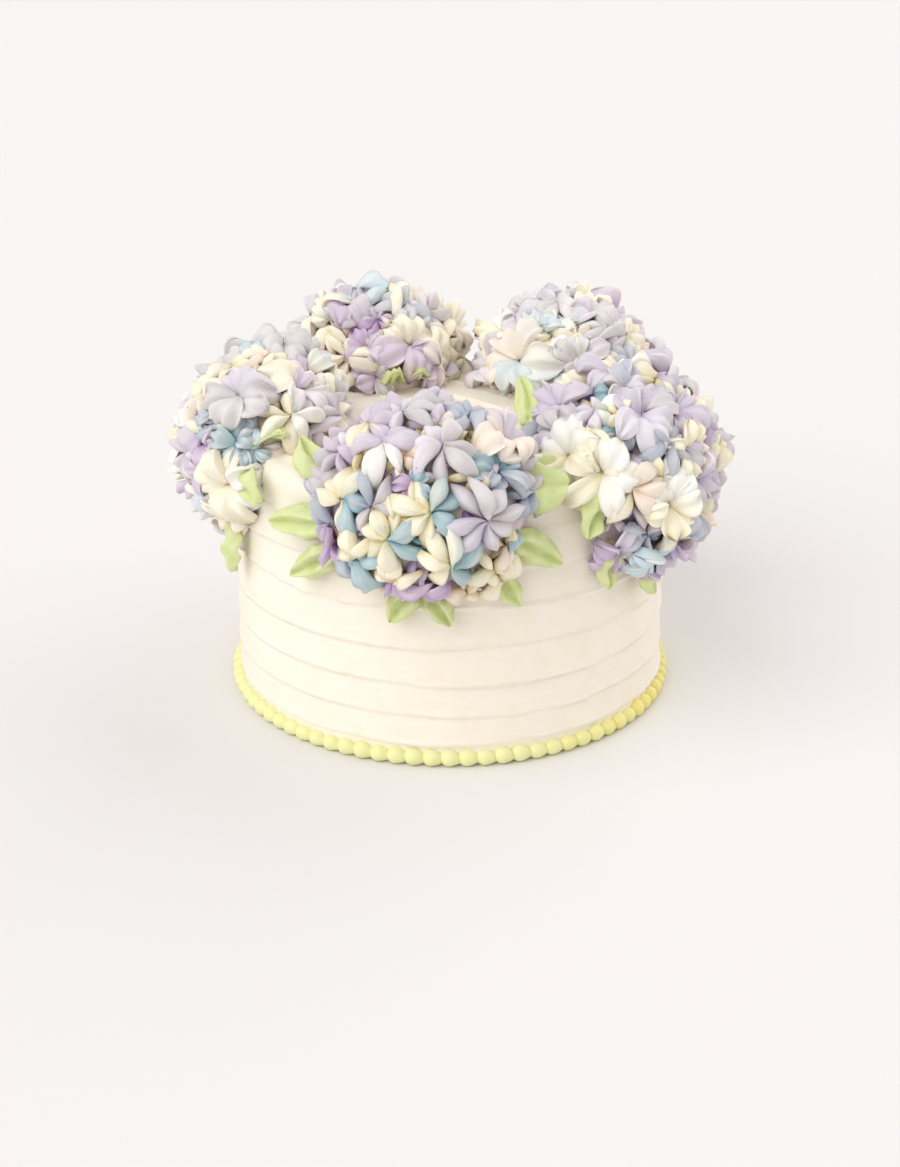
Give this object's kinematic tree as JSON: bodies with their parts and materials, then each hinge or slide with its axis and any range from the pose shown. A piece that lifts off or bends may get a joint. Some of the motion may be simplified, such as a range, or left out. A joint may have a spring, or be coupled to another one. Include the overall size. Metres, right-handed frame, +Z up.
{
  "type": "hydrangea cake",
  "caption": "Round ivory buttercream cake with banded sides, piped hydrangea heads of lilac, blue and ivory stars lapping over the rim, small green leaves and a green bead border.",
  "frame": {"origin": "centre of the cake's flat underside, on the axis of the round cake", "axes": "+Z up along the cake's axis; the picture looks along +Y, with +X to its right"},
  "size_m": [0.2031, 0.2159, 0.1402],
  "materials": {
    "cake_icing": "smooth ivory buttercream, soft sheen",
    "bead_icing": "yellow-green buttercream, soft sheen",
    "flower_icing": "streaked lilac, blue and ivory buttercream",
    "leaf_icing": "pale green buttercream"
  },
  "bodies": {
    "root": {"cake_body": "cake_icing", "bead_border": "bead_icing", "hydrangea_front": "flower_icing", "hydrangea_right": "flower_icing", "hydrangea_back_right": "flower_icing", "hydrangea_back_left": "flower_icing", "hydrangea_left": "flower_icing", "leaf_front_a": "leaf_icing", "leaf_front_b": "leaf_icing", "leaf_front_c": "leaf_icing", "leaf_front_d": "leaf_icing", "leaf_front_e": "leaf_icing", "leaf_front_f": "leaf_icing", "leaf_front_g": "leaf_icing", "leaf_front_h": "leaf_icing", "leaf_left_a": "leaf_icing", "leaf_left_b": "leaf_icing", "leaf_left_c": "leaf_icing", "leaf_left_d": "leaf_icing", "leaf_back_left_a": "leaf_icing", "leaf_back_left_b": "leaf_icing", "leaf_back_left_c": "leaf_icing", "leaf_back_left_d": "leaf_icing", "leaf_back_right_a": "leaf_icing", "leaf_back_right_b": "leaf_icing", "leaf_back_right_c": "leaf_icing", "leaf_right_a": "leaf_icing", "leaf_right_b": "leaf_icing", "leaf_right_c": "leaf_icing", "leaf_right_d": "leaf_icing", "leaf_right_e": "leaf_icing", "leaf_right_f": "leaf_icing"}
  },
  "joints": []
}
